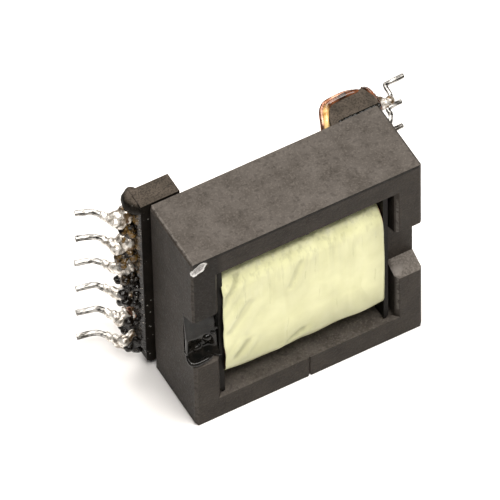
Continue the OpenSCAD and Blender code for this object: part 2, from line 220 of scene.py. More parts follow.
def combine(tree, how, a, b):
    """Works out one number from two; a and b are outputs or plain numbers."""
    maths = tree.nodes.new("ShaderNodeMath")
    maths.operation = how
    for slot, part in ((0, a), (1, b)):
        if isinstance(part, (int, float)):
            maths.inputs[slot].default_value = part
        else:
            tree.links.new(part, maths.inputs[slot])
    return maths.outputs["Value"]


def product(tree, first, *others):
    """Multiplies several outputs or numbers, so that each one limits the rest."""
    for other in others:
        first = combine(tree, "MULTIPLY", first, other)
    return first


print("colour helpers ready")

# %% [markdown]
# ## Where a finish changes
# Wear, dirt and dust sit in certain places: along an edge, on what faces up, in one corner. The
# next helpers tell a finish where it is, in millimetres on the part, and which way it faces.
# Nothing here depends on where the camera stands.

# %% Helpers for places on the surface
def raise_surface(tree, shader, height, depth_mm, strength=1.0):
    """Bump: height 1 stands depth_mm above height 0."""
    bump = tree.nodes.new("ShaderNodeBump")
    bump.inputs["Strength"].default_value = strength
    bump.inputs["Distance"].default_value = depth_mm * MM
    tree.links.new(height, bump.inputs["Height"])
    tree.links.new(bump.outputs["Normal"], shader.inputs["Normal"])


def along(tree, axis):
    """The place of a point along one axis, in millimetres."""
    place = tree.nodes.new("ShaderNodeTexCoord")
    split = tree.nodes.new("ShaderNodeSeparateXYZ")
    tree.links.new(place.outputs["Object"], split.inputs["Vector"])
    return combine(tree, "MULTIPLY", split.outputs[axis], 1000.0)


def upward_share(tree):
    """1 where a face looks straight up, 0 on a wall and -1 where it looks down."""
    surface = tree.nodes.new("ShaderNodeNewGeometry")
    split = tree.nodes.new("ShaderNodeSeparateXYZ")
    tree.links.new(surface.outputs["Normal"], split.inputs["Vector"])
    return split.outputs["Z"]


def facing_up(tree):
    """1 on the level tops, 0 on walls and slopes."""
    return spread(tree, upward_share(tree), 0.6, 0.95)


def darken(tree, colour, share, amount):
    """Multiplies a colour by share where amount is 1."""
    mixer = tree.nodes.new("ShaderNodeMix")
    mixer.data_type = "RGBA"
    mixer.blend_type = "MULTIPLY"
    tree.links.new(amount, mixer.inputs["Factor"])
    tree.links.new(colour, mixer.inputs[6])
    mixer.inputs[7].default_value = (share, share, share, 1)
    return mixer.outputs[2]


def dress(node_name, finish):
    """Gives a CAD node one finish, and leaves its mesh alone."""
    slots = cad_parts[node_name].data.materials
    slots.clear()
    slots.append(finish)
    print(node_name, "takes", finish.name)


print("place helpers ready")

# %% [markdown]
# ## From a bmesh to a piece
# New pieces are drawn in millimetres, because noise and remeshing are easier to judge there, and
# are brought to metres at the end. Each one then rides on the part, takes its finish, and hides the
# CAD nodes it stands for.

# %% Helper that finishes a piece
ROOT = "root"


def new_piece(name, bm, finish, stands_for=()):
    """Turns a bmesh drawn in millimetres into a smooth finished piece that rides on the part."""
    bmesh.ops.scale(bm, vec=(MM, MM, MM), verts=bm.verts)
    mesh = bpy.data.meshes.new(name)
    bm.to_mesh(mesh)
    bm.free()
    mesh.materials.append(finish)
    mesh.shade_smooth()
    piece = bpy.data.objects.new(name, mesh)
    bpy.context.scene.collection.objects.link(piece)
    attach(piece, ROOT)
    if stands_for:
        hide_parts(*stands_for)
    print(name, len(mesh.polygons), "faces")


print("pieces ride on", ROOT)

# %% [markdown]
# ## Wires
# A wire is one ring of edges that is extruded from point to point, and turned each time just
# enough to follow the route, so that it never twists. A curve object with a bevel could do this
# too. The ring keeps it all in one bmesh, where a square wire with rounded corners and an uneven
# width takes the same few lines as a round one.

# %% Helpers for wires
def extrude_ring(bm, ring):
    """Extrudes a closed ring of edges in place. Returns the new vertices and the new ring."""
    made = bmesh.ops.extrude_edge_only(bm, edges=ring)["geom"]
    fresh = {part for part in made if isinstance(part, bmesh.types.BMVert)}
    new_ring = list({e for v in fresh for e in v.link_edges if e.other_vert(v) in fresh})
    return list(fresh), new_ring


def curve_through(points, steps=6):
    """A smooth run of points through the given ones."""
    given = [Vector(p) for p in points]
    given = [2 * given[0] - given[1]] + given + [2 * given[-1] - given[-2]]
    run = []
    for a, b, c, d in zip(given, given[1:], given[2:], given[3:]):
        for step in range(steps):
            t = step / steps
            bend = 2 * a - 5 * b + 4 * c - d
            run.append(0.5 * (2 * b + (c - a) * t + bend * t**2 + (3 * b - a - 3 * c + d) * t**3))
    run.append(given[-2])
    return run


def draw_wire(bm, run, width, sides=12, corner=None):
    """Draws a wire along a run of points. width is a number or a function of the share done.
    With a corner the wire is square, with corners of that size."""
    at = width if callable(width) else (lambda share: width)
    turned = (run[1] - run[0]).to_track_quat("Z", "X").to_matrix()
    here = Matrix.Translation(run[0]) @ turned.to_4x4() @ Matrix.Scale(at(0), 4)
    if corner is None:
        start = bmesh.ops.create_circle(bm, cap_ends=True, segments=sides, radius=0.5, matrix=here)
        ring = list({e for v in start["verts"] for e in v.link_edges})
    else:
        start = bmesh.ops.create_grid(bm, x_segments=1, y_segments=1, size=0.5, matrix=here)
        bevelled = bmesh.ops.bevel(
            bm, geom=start["verts"], offset=corner, offset_type="OFFSET", segments=3,
            profile=0.5, affect="VERTICES", material=-1,
        )
        ring = list({e for v in bevelled["verts"] for e in v.link_edges})
    heading = (run[1] - run[0]).normalized()
    for k in range(1, len(run)):
        onward = run[min(k + 1, len(run) - 1)] - run[k - 1]
        swing = heading.rotation_difference(onward.normalized())
        turned = swing.to_matrix() @ turned
        heading = onward.normalized()
        share = k / (len(run) - 1)
        there = Matrix.Translation(run[k]) @ turned.to_4x4() @ Matrix.Scale(at(share), 4)
        fresh, ring = extrude_ring(bm, ring)
        bmesh.ops.transform(bm, matrix=there @ here.inverted(), verts=fresh)
        here = there
    bmesh.ops.contextual_create(bm, geom=ring)
    bmesh.ops.recalc_face_normals(bm, faces=bm.faces)


print("wire helpers ready")

# %% [markdown]
# ## Lumps
# Solder, flux and varnish set in round lumps that run into each other. Rough balls and hoops are
# laid over one another, a voxel remesh melts them into one closed skin, and the skin is then
# kneaded by noise so that no ball shows.

# %% Helpers for lumps
def ball(bm, centre, radius, stretch=(1, 1, 1)):
    """Adds a ball, stretched if need be."""
    place = Matrix.Translation(centre) @ Matrix.Diagonal((*stretch, 1))
    bmesh.ops.create_icosphere(bm, subdivisions=3, radius=radius, matrix=place)


def hoop(bm, centre, radius, width, lean=0.0):
    """Adds one turn of wire of that width round a post that points along X."""
    place = Matrix.Translation(centre) @ Matrix.Rotation(lean, 4, "Y")
    ring = bmesh.ops.create_circle(
        bm, segments=12, radius=width / 2, matrix=place @ Matrix.Translation((0, radius, 0)),
    )
    bmesh.ops.spin(
        bm, geom=ring["verts"] + list({e for v in ring["verts"] for e in v.link_edges}),
        cent=centre, axis=place.to_3x3() @ Vector((1, 0, 0)), angle=2 * math.pi, steps=36,
        use_merge=True, use_duplicate=False,
    )


def melt(bm, cell):
    """Melts overlapping lumps into one closed skin made of cells of that size."""
    lumps = bpy.data.meshes.new("lumps")
    bmesh.ops.recalc_face_normals(bm, faces=bm.faces)
    bm.to_mesh(lumps)
    bm.free()
    holder = bpy.data.objects.new("lumps", lumps)
    bpy.context.scene.collection.objects.link(holder)
    fuse = holder.modifiers.new("fuse", "REMESH")
    fuse.mode = "VOXEL"
    fuse.voxel_size = cell
    bpy.context.view_layer.update()
    skin = bmesh.new()
    skin.from_object(holder, bpy.context.evaluated_depsgraph_get())
    bpy.data.objects.remove(holder)
    bpy.data.meshes.remove(lumps)
    return skin


def knead(bm, depth, size, seed=0.0, rounds=2):
    """Smooths a skin, then pushes it in and out by noise."""
    for _ in range(rounds):
        bmesh.ops.smooth_vert(
            bm, verts=bm.verts, factor=0.5, use_axis_x=True, use_axis_y=True, use_axis_z=True,
        )
    bm.normal_update()
    for v in bm.verts:
        push = noise.noise(v.co / size + Vector((seed, 0, seed)))
        v.co += v.normal * depth * push
    bm.normal_update()


def melt_and_knead(bm, cell, depth, size, seed=0.0, rounds=2):
    """One kneaded skin from overlapping lumps."""
    skin = melt(bm, cell)
    knead(skin, depth, size, seed, rounds)
    return skin


print("lump helpers ready")

# %% [markdown]
# ## Ferrite
# Ferrite is pressed from a black oxide powder, fired, and ground where the halves meet. Its skin
# is dark grey, never quite even, and feels like fine sandpaper, so it gives a broad dull sheen.
# Three noises make it: a cloudy one for the press and kiln marks, a fine one for the grain, and
# flecks in between. Grain and flecks also drive the bump. Level tops are painted paler than walls,
# as a painted sheen.

# %% Ferrite
ferrite, tree, shader = new_finish("ferrite", (0.03, 0.028, 0.025), 0.55)
shader.inputs["Specular IOR Level"].default_value = 0.18
shader.inputs["Specular Tint"].default_value = (1.0, 0.88, 0.78, 1)
clouds = grain(tree, 1.8, detail=5.0)
sand = grain(tree, 0.15, detail=3.0, seed=0.31)
fleck = grain(tree, 0.30, detail=4.0, seed=0.83)
# Painted sheen: level tops get a paler colour than walls.
upward = facing_up(tree)
dark = between(tree, upward, (0.0125, 0.0102, 0.0082), (0.046, 0.0400, 0.0345))
pale = between(tree, upward, (0.0250, 0.0208, 0.0172), (0.077, 0.0680, 0.0605))
colour = between(tree, spread(tree, clouds, 0.34, 0.68), dark, pale)
pale_grain = between(tree, upward, (0.060, 0.051, 0.043), (0.130, 0.114, 0.100))
colour = between(tree, spread(tree, sand, 0.50, 0.66, 0.0, 0.42), colour, pale_grain)
colour = darken(tree, colour, 0.62, spread(tree, fleck, 0.46, 0.34, 0.0, 0.8))
tree.links.new(spread(tree, sand, 0.3, 0.7, 0.48, 0.72), shader.inputs["Roughness"])
grit = combine(tree, "ADD", sand, combine(tree, "MULTIPLY", fleck, 0.8))
raise_surface(tree, shader, grit, 0.035, 0.7)
print("ferrite grain ready")

# %% [markdown]
# ## Worn edges and a painted shade line
# Grinding rounds the outer edges a little, and they rub pale. Just under the top edge of the front
# a thin dark line is painted, as painted shade under the edge. Both follow the core's own box: one
# band at a time is picked by its height or its distance from a side, and bands are multiplied to
# make a line.

# %% Edges of the ferrite
core_low, core_high = [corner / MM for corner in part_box("core_half_left")]
SHADE_LINE_FOOT, SHADE_LINE_TOP = core_high.z - 0.38, core_high.z - 0.20
near_top = spread(tree, along(tree, "Z"), core_high.z - 0.10, core_high.z - 0.04)
near_left = spread(tree, along(tree, "X"), core_low.x + 0.30, core_low.x + 0.16)
near_front = spread(tree, along(tree, "Y"), core_low.y + 0.30, core_low.y + 0.16)
on_front = spread(tree, along(tree, "Y"), core_low.y + 0.03, core_low.y + 0.01)
# Painted shade: a thin dark line on the front, just under the top edge.
painted_shade_line = product(
    tree,
    spread(tree, along(tree, "Z"), SHADE_LINE_FOOT, SHADE_LINE_TOP),
    on_front,
    spread(tree, upward, 0.3, 0.0),
)
colour = darken(tree, colour, 0.02, painted_shade_line)
beside_front = product(tree, near_front, 0.18)
rubbed = product(
    tree,
    near_left,
    combine(tree, "MAXIMUM", near_top, beside_front),
    spread(tree, fleck, 0.40, 0.56, 0.15, 0.60),
)
colour = between(tree, rubbed, colour, (0.22, 0.20, 0.18))
print("edges worn")

# %% [markdown]
# ## Smear and rubbed step
# Varnish has darkened the left limb above the notch. On the right limb the notch's sloping step
# sticks out and is rubbed bright at its inner corner, and the upward slope of its top is painted
# paler, mottled, as a painted sheen like the level tops. The small bevel round the window is rubbed
# too. Each is a product of soft bands along the axes.

# %% Smear on the left limb
SMEAR_LEFT, SMEAR_RIGHT = -7.6, -7.0
SMEAR_FOOT, SMEAR_TOP = 10.5, 12.5
smear = product(
    tree,
    spread(tree, along(tree, "X"), SMEAR_RIGHT, SMEAR_LEFT),
    spread(tree, along(tree, "Z"), SMEAR_FOOT, SMEAR_TOP),
    on_front,
)
colour = darken(tree, colour, 0.25, smear)
print("left limb smeared")

# %% Rubbed step
STEP_X, STEP_Z = 8.35, 8.05
step_right = combine(tree, "SUBTRACT", along(tree, "X"), STEP_X)
step_up = combine(tree, "SUBTRACT", along(tree, "Z"), STEP_Z)
step_reach = combine(
    tree, "ADD", product(tree, step_right, step_right), product(tree, step_up, step_up),
)
step_spot = product(
    tree,
    spread(tree, combine(tree, "ADD", step_reach, fleck), 1.35, 0.55),
    spread(tree, along(tree, "Y"), -4.2, -5.0),
    spread(tree, on_front, 1.0, 0.0),
)
colour = between(tree, step_spot, colour, (0.42, 0.39, 0.36))
lower_slope = product(
    tree,
    spread(tree, upward_share(tree), 0.35, 0.55),
    spread(tree, along(tree, "Z"), 12.0, 11.0),
)
# Painted sheen: the upward slope of the step is painted paler and mottled.
painted_slope_sheen = product(
    tree,
    spread(tree, along(tree, "X"), 8.1, 8.3),
    spread(tree, sand, 0.42, 0.60, 0.2, 0.8),
    lower_slope,
)
colour = between(tree, painted_slope_sheen, colour, (0.15, 0.135, 0.12))
print("step rubbed")

# %% Rubbed bevel of the window
BEVEL_LEFT, BEVEL_RIGHT = 8.02, 8.24
BEVEL_FOOT, BEVEL_TOP = 3.1, 16.9
bevel_edge = product(
    tree,
    spread(tree, along(tree, "X"), BEVEL_LEFT, BEVEL_LEFT + 0.06),
    spread(tree, along(tree, "X"), BEVEL_RIGHT, BEVEL_RIGHT - 0.06),
    spread(tree, along(tree, "Y"), -4.95, -5.05),
    spread(tree, fleck, 0.36, 0.55, 0.1, 0.6),
    spread(tree, along(tree, "Z"), BEVEL_TOP, BEVEL_TOP - 0.2),
    spread(tree, along(tree, "Z"), BEVEL_FOOT, BEVEL_FOOT + 0.2),
)
colour = between(tree, bevel_edge, colour, (0.12, 0.11, 0.10))
print("window edge rubbed")

# %% [markdown]
# ## The knocked corner
# Where the corner was knocked, the CAD has two shallow hollows. The fresh break in them is pale,
# with a ragged outline: an oval is drawn in the plane of the front, and noise is added to it.

# %% Knocked corner
BREAK_WIDTH, BREAK_LENGTH = 0.60, 1.02
BREAK_LEAN = 0.64
break_x = combine(tree, "SUBTRACT", along(tree, "X"), core_low.x + 0.66)
break_z = combine(tree, "SUBTRACT", along(tree, "Z"), core_high.z - 0.86)
across = combine(tree, "SUBTRACT", product(tree, break_x, BREAK_LEAN), break_z)
lengthwise = combine(tree, "ADD", break_x, product(tree, break_z, BREAK_LEAN))
oval = combine(
    tree, "ADD",
    combine(tree, "POWER", combine(tree, "DIVIDE", across, BREAK_WIDTH), 2.0),
    combine(tree, "POWER", combine(tree, "DIVIDE", lengthwise, BREAK_LENGTH), 2.0),
)
shallow = spread(tree, along(tree, "Y"), core_low.y + 0.2, core_low.y + 0.26, 1.0, 0.0)
ragged = combine(tree, "ADD", oval, product(tree, fleck, 0.8))
broken = product(tree, spread(tree, ragged, 1.30, 1.18), shallow)
rim_of_break = spread(tree, ragged, 0.75, 1.05)
fresh_break = between(tree, rim_of_break, (0.36, 0.35, 0.34), (0.78, 0.77, 0.75))
fresh_break = darken(tree, fresh_break, 0.6, spread(tree, sand, 0.5, 0.62))
colour = between(tree, broken, colour, fresh_break)
tree.links.new(colour, shader.inputs["Base Color"])
dress("core_half_left", ferrite)
dress("core_half_right", ferrite)
print("ferrite on both halves")

# %% [markdown]
# ## Coil former
# The former is a black phenolic moulding, matt and a little brown. Inside the window, where little
# light gets in, its colour is painted darkest, as painted shade.

# %% Coil former plastic
plastic, tree, shader = new_finish("former_plastic", (0.02, 0.018, 0.016), 0.42)
shader.inputs["Specular IOR Level"].default_value = 0.07
shader.inputs["Specular Tint"].default_value = (1.0, 0.90, 0.80, 1)
clouds = grain(tree, 1.2, detail=5.0, seed=0.2)
fine = grain(tree, 0.14, detail=3.0, seed=0.5)
upward = facing_up(tree)
dark = between(tree, upward, (0.0065, 0.0055, 0.0042), (0.044, 0.036, 0.028))
pale = between(tree, upward, (0.0130, 0.0105, 0.0080), (0.072, 0.058, 0.046))
colour = between(tree, spread(tree, clouds, 0.35, 0.7), dark, pale)
colour = darken(tree, colour, 0.5, spread(tree, fine, 0.52, 0.40))
# Painted shade: inside the window the colour is darkened.
off_middle = combine(tree, "ABSOLUTE", along(tree, "X"), 0.0)
painted_window_shade = product(
    tree,
    spread(tree, off_middle, 8.6, 8.3),
    spread(tree, along(tree, "Y"), 0.9, 0.5),
)
colour = darken(tree, colour, 0.25, painted_window_shade)
print("former plastic ready")

# %% [markdown]
# ## Dust on the former
# A few pale grains of dust stick to the front of the left rail. They are a Voronoi pattern, of
# which only the very middle of some cells is pale.

# %% Dust on the former
DUST_CELL = 0.42
place = tree.nodes.new("ShaderNodeTexCoord")
dust_cells = tree.nodes.new("ShaderNodeTexVoronoi")
dust_cells.inputs["Scale"].default_value = 1 / (DUST_CELL * MM)
tree.links.new(place.outputs["Object"], dust_cells.inputs["Vector"])
dust = product(
    tree,
    spread(tree, dust_cells.outputs["Distance"], 0.17, 0.10),
    spread(tree, grain(tree, 1.3, seed=0.7), 0.46, 0.54),
    spread(tree, along(tree, "X"), -8.6, -8.9),
    spread(tree, upward, 0.5, 0.0),
)
colour = between(tree, dust, colour, (0.34, 0.33, 0.31))
tree.links.new(colour, shader.inputs["Base Color"])
tree.links.new(spread(tree, fine, 0.3, 0.7, 0.34, 0.58), shader.inputs["Roughness"])
raise_surface(tree, shader, fine, 0.02, 0.6)
dress("coil_former", plastic)

# %% [markdown]
# ## Metals
# Tinned wire is dull grey and streaked along its length, and its darkest streaks are painted
# reflection. Solder that has frozen slowly is paler and satin, with soft dents. Enamelled copper is
# pinkish under its brown enamel. All three are metallic shaders: noise picks between a dark and a
# light tint, and also drives roughness.

# %% Metals
tin, tree, shader = new_finish("tinned_wire", (0.5, 0.49, 0.47), 0.25, 1.0)
fine = grain(tree, 0.28, detail=4.0, stretch=(3, 1, 1), seed=0.4)
# The darkest streaks of the tin are painted reflection.
tree.links.new(
    between(tree, spread(tree, fine, 0.40, 0.60), (0.07, 0.066, 0.060), (0.50, 0.485, 0.46)),
    shader.inputs["Base Color"],
)
tree.links.new(spread(tree, fine, 0.3, 0.7, 0.20, 0.45), shader.inputs["Roughness"])
raise_surface(tree, shader, fine, 0.05, 0.8)

solder, tree, shader = new_finish("solder", (0.85, 0.84, 0.80), 0.2, 0.55)
fine = grain(tree, 0.32, detail=4.0, seed=0.15)
stain = grain(tree, 0.8, detail=3.0, seed=0.55)
colour = between(tree, spread(tree, fine, 0.38, 0.60), (0.34, 0.30, 0.25), (0.90, 0.86, 0.80))
scorched = product(
    tree, spread(tree, stain, 0.46, 0.54), spread(tree, along(tree, "X"), -12.0, -11.2),
)
colour = between(tree, scorched, colour, (0.10, 0.060, 0.025))
tree.links.new(colour, shader.inputs["Base Color"])
tree.links.new(spread(tree, fine, 0.3, 0.7, 0.18, 0.42), shader.inputs["Roughness"])
raise_surface(tree, shader, fine, 0.035, 0.8)

copper, tree, shader = new_finish("winding_copper", (0.70, 0.32, 0.14), 0.3, 1.0)
fine = grain(tree, 0.6, detail=4.0, seed=0.9)
tree.links.new(
    between(tree, spread(tree, fine, 0.38, 0.62), (0.13, 0.055, 0.030), (0.60, 0.33, 0.23)),
    shader.inputs["Base Color"],
)
tree.links.new(spread(tree, fine, 0.3, 0.7, 0.28, 0.5), shader.inputs["Roughness"])
raise_surface(tree, shader, fine, 0.05, 0.5)
print("metals ready")

# %% [markdown]
# ## Resin, flux and varnish
# Three glossy coats. The resin is plain black, smooth and a little hollow from shrinking. The flux
# is burnt: black low down and amber where it was cooler, and pale specks are painted into it as
# painted glints. The varnish on the top right lead is golden on the copper and dark brown where it
# is thick. The specular level is kept low, because these surfaces mirror a bright floor and would
# turn grey.

# %% Resin and flux
resin, tree, shader = new_finish("black_resin", (0.006, 0.006, 0.005), 0.08)
shader.inputs["Specular IOR Level"].default_value = 0.22
fine = grain(tree, 0.8, detail=3.0, seed=0.9)
tree.links.new(
    between(tree, spread(tree, fine, 0.4, 0.7), (0.003, 0.003, 0.0025), (0.012, 0.010, 0.008)),
    shader.inputs["Base Color"],
)
tree.links.new(spread(tree, fine, 0.35, 0.7, 0.05, 0.2), shader.inputs["Roughness"])
raise_surface(tree, shader, fine, 0.05, 0.5)

flux, tree, shader = new_finish("burnt_flux", (0.02, 0.012, 0.006), 0.12)
shader.inputs["Specular IOR Level"].default_value = 0.36
patch = grain(tree, 0.60, detail=4.0, seed=0.35)
fine = grain(tree, 0.2, detail=4.0, seed=0.65)
cool = spread(tree, along(tree, "Z"), 10.5, 13.5)
off_the_rail = spread(tree, along(tree, "X"), -10.35, -10.75)
amber = product(tree, spread(tree, patch, 0.44, 0.60), cool, off_the_rail)
colour = between(tree, amber, (0.005, 0.0035, 0.0025), (0.15, 0.085, 0.022))
# Painted glints: pale specks in the flux.
painted_glint_specks = spread(tree, fine, 0.66, 0.70)
colour = between(tree, painted_glint_specks, colour, (0.40, 0.36, 0.30))
tree.links.new(colour, shader.inputs["Base Color"])
tree.links.new(spread(tree, fine, 0.35, 0.7, 0.03, 0.18), shader.inputs["Roughness"])
raise_surface(tree, shader, combine(tree, "ADD", patch, fine), 0.07, 1.0)
print("resin and flux ready")

# %% Varnish
varnish, tree, shader = new_finish("golden_varnish", (0.75, 0.42, 0.12), 0.12)
patch = grain(tree, 0.9, detail=3.0, stretch=(1, 1, 2), seed=0.75)
thick = spread(tree, along(tree, "X"), 6.35, 6.85)
gold = between(tree, spread(tree, patch, 0.36, 0.60), (0.42, 0.22, 0.06), (0.90, 0.62, 0.26))
brown = between(tree, spread(tree, patch, 0.40, 0.62), (0.022, 0.009, 0.004), (0.16, 0.055, 0.022))
tree.links.new(between(tree, thick, gold, brown), shader.inputs["Base Color"])
raise_surface(tree, shader, patch, 0.03, 0.6)
print("varnish ready")

# %% [markdown]
# ## Film
# The film is thin clear polyester with yellow glue behind it. It is smooth and satin, so almost
# all it shows is its creases: fine ones that run the way it was wound come from the bump, and the
# large ones are modelled. The valleys of the folds carry an attribute that says how deep they
# are, and the colour is painted darker there, as painted shade; the fine streaks in the upper part
# are painted darker too. Where the film turns under at the bottom and the right, its colour is
# painted darker as well, as painted shade.

# %% Film
film, tree, shader = new_finish("yellow_film", (0.776, 0.750, 0.40), 0.30)
shader.inputs["Specular IOR Level"].default_value = 0.35
clouds = grain(tree, 2.0, detail=3.0, seed=0.4)
streaks = grain(tree, 0.42, detail=3.0, stretch=(1, 1, 9), seed=0.6)
crumple = grain(tree, 2.6, detail=1.5, stretch=(1, 1, 2.5), seed=0.12, distortion=0.4)
colour = between(tree, spread(tree, clouds, 0.3, 0.7), (0.630, 0.625, 0.355), (0.725, 0.720, 0.435))
low_edge = spread(tree, along(tree, "Z"), 8.2, 5.2)
right_edge = spread(tree, along(tree, "X"), 5.2, 7.4)
# Painted shade where the film turns under.
painted_turn_shade = combine(tree, "MAXIMUM", low_edge, product(tree, right_edge, 0.6))
colour = darken(tree, colour, 0.60, painted_turn_shade)
# Painted shade in the valleys of the folds.
painted_crease_shade = tree.nodes.new("ShaderNodeAttribute")
painted_crease_shade.attribute_name = "painted_crease_shade"
colour = darken(tree, colour, 0.70, painted_crease_shade.outputs["Fac"])
# Painted shade along the fine streaks.
painted_streak_shade = product(
    tree, spread(tree, streaks, 0.50, 0.40), spread(tree, along(tree, "Z"), 12.5, 15.5),
)
colour = darken(tree, colour, 0.86, painted_streak_shade)
tree.links.new(colour, shader.inputs["Base Color"])
tree.links.new(spread(tree, streaks, 0.3, 0.7, 0.26, 0.45), shader.inputs["Roughness"])
wound_tight = spread(tree, along(tree, "Z"), 11.5, 15.0, 0.02, 0.16)
creases = combine(
    tree, "ADD",
    product(tree, spread(tree, streaks, 0.3, 0.7), wound_tight),
    spread(tree, crumple, 0.3, 0.7),
)
raise_surface(tree, shader, creases, 0.30, 0.9)
print("film ready")

# %% [markdown]
# ## Dressing the CAD nodes that stay
# The leads, the windings, the inner tapes and the glue keep the shape that the CAD gave them and
# only take a finish, by their names.

# %% Dress the CAD nodes that stay
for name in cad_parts:
    if name.startswith("lead_") or name.endswith("winding"):
        dress(name, copper)
    elif "tape" in name:
        dress(name, film)
    elif name.startswith("rail_glue"):
        dress(name, resin)

# %% [markdown]
# ## The film sleeve
# Thin polyester film is wound round the coil by hand or machine, so it is never quite flat: it
# lies in long soft wrinkles along the way it was wound, one corner has folded over, and its free
# edges lift. A rounded rectangle is made from a grid face with bevelled corners, extruded along
# the coil in small steps, and then each point is moved out or in by a sum of these wrinkles.

# %% Tube of film
SLEEVE_CORNER = 1.55
SLEEVE_STEPS = 84
sleeve_low, sleeve_high = [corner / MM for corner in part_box("outer_tape")]
sleeve_size = sleeve_high - sleeve_low
sleeve_middle = (sleeve_high + sleeve_low) / 2
sleeve = bmesh.new()
stand_up = Matrix.Rotation(math.pi / 2, 4, "Y")
section = bmesh.ops.create_grid(
    sleeve, x_segments=1, y_segments=1, size=0.5,
    matrix=Matrix.Translation((sleeve_low.x, sleeve_middle.y, sleeve_middle.z))
    @ stand_up @ Matrix.Diagonal((sleeve_size.z, sleeve_size.y, 1, 1)),
)
bmesh.ops.bevel(
    sleeve, geom=section["verts"], offset=SLEEVE_CORNER, offset_type="OFFSET", segments=14,
    profile=0.5, affect="VERTICES", material=-1,
)
bmesh.ops.delete(sleeve, geom=sleeve.faces[:], context="FACES_ONLY")
for cuts, least in ((41, sleeve_size.z - 2.5 * SLEEVE_CORNER), (18, 2.0)):
    long_edges = [e for e in sleeve.edges if e.calc_length() > least]
    bmesh.ops.subdivide_edges(sleeve, edges=long_edges, cuts=cuts, use_grid_fill=False)
ring = sleeve.edges[:]
for _ in range(SLEEVE_STEPS):
    fresh, ring = extrude_ring(sleeve, ring)
    bmesh.ops.translate(sleeve, vec=(sleeve_size.x / SLEEVE_STEPS, 0, 0), verts=fresh)
bmesh.ops.recalc_face_normals(sleeve, faces=sleeve.faces)
sleeve.normal_update()
print("tube of film", len(sleeve.faces), "faces")

# %% [markdown]
# ## Creases in the film
# A crease is a soft ridge or valley along a line on the front of the sleeve. The large ones are
# listed with their ends, and noise adds the fine ones, which run the way the film was wound. The
# sum is eased off at both ends, so that no valley cuts down to the copper.

# %% Creases
# Each crease: millimetres that it stands out, its two ends as (x, z), and its width
CREASES = (
    (-0.13, (-5.24, 16.83), (-5.55, 15.65), 0.20),
    (-0.16, (-5.55, 15.65), (-6.54, 14.11), 0.20),
    (-0.13, (-6.54, 14.11), (-6.90, 13.10), 0.22),
    (0.22, (-6.05, 16.7), (-7.05, 14.7), 0.42),
    (0.10, (-4.85, 16.4), (-6.15, 13.7), 0.35),
    (-0.13, (-4.77, 12.2), (-6.42, 9.66), 0.36),
    (0.13, (-5.45, 12.7), (-6.95, 10.6), 0.42),
    (0.07, (-4.1, 11.6), (-5.6, 9.0), 0.50),
    (-0.15, (-5.0, 7.6), (-6.0, 6.3), 0.24),
    (0.13, (-5.6, 8.2), (-6.6, 6.7), 0.34),
    (0.10, (-4.5, 7.4), (-5.3, 6.2), 0.30),
    (-0.13, (-1.7, 5.4), (-0.2, 6.1), 0.20),
    (0.11, (-2.4, 5.2), (0.3, 5.7), 0.28),
    (-0.10, (-0.37, 14.46), (-1.3, 12.08), 0.34),
    (0.05, (0.35, 14.8), (-0.7, 12.1), 0.34),
)
DEEPEST, TALLEST = 0.09, 0.22


def bump_at(value, middle, width):
    """A smooth hill of height 1."""
    return math.exp(-(((value - middle) / width) ** 2))


def ridge(x, z, start, end, width):
    """A smooth ridge of height 1 along the line from start to end, fading past its ends."""
    line = Vector(end) - Vector(start)
    reach = Vector((x, z)) - Vector(start)
    share = reach.dot(line) / line.length_squared
    nearest = Vector(start) + min(1.0, max(0.0, share)) * line
    return math.exp(-((((Vector((x, z)) - nearest).length) / width) ** 2))


def wrinkle(x, z):
    """How far the front of the sleeve stands out at a place, in millimetres."""
    out = 0.03 + 0.12 * noise.noise(Vector((x / 2.4, z / 9.0, 0.3)))
    out += 0.035 * noise.noise(Vector((x / 1.2 + 0.30 * z, z / 4.0, 4.1)))
    fine = noise.noise(Vector((x / 0.36, z / 7.0, 9.0)))
    out += 0.050 * fine * bump_at(x, 1.8, 3.4) * bump_at(z, 15.5, 3.4)
    for height, start, end, width in CREASES:
        out += height * ridge(x, z, start, end, width)
    limit = DEEPEST if out < 0 else TALLEST
    return limit * math.tanh(out / limit)


print(len(CREASES), "creases")

# %% [markdown]
# ## Folding the sleeve
# Each point of the tube moves along its normal by the creases, most on the front. Then the free
# edges wave, the lower front corner lifts in a loose fold, and the depth of each valley is noted for
# the painted shade in the colour. The sheet gets its thickness last.

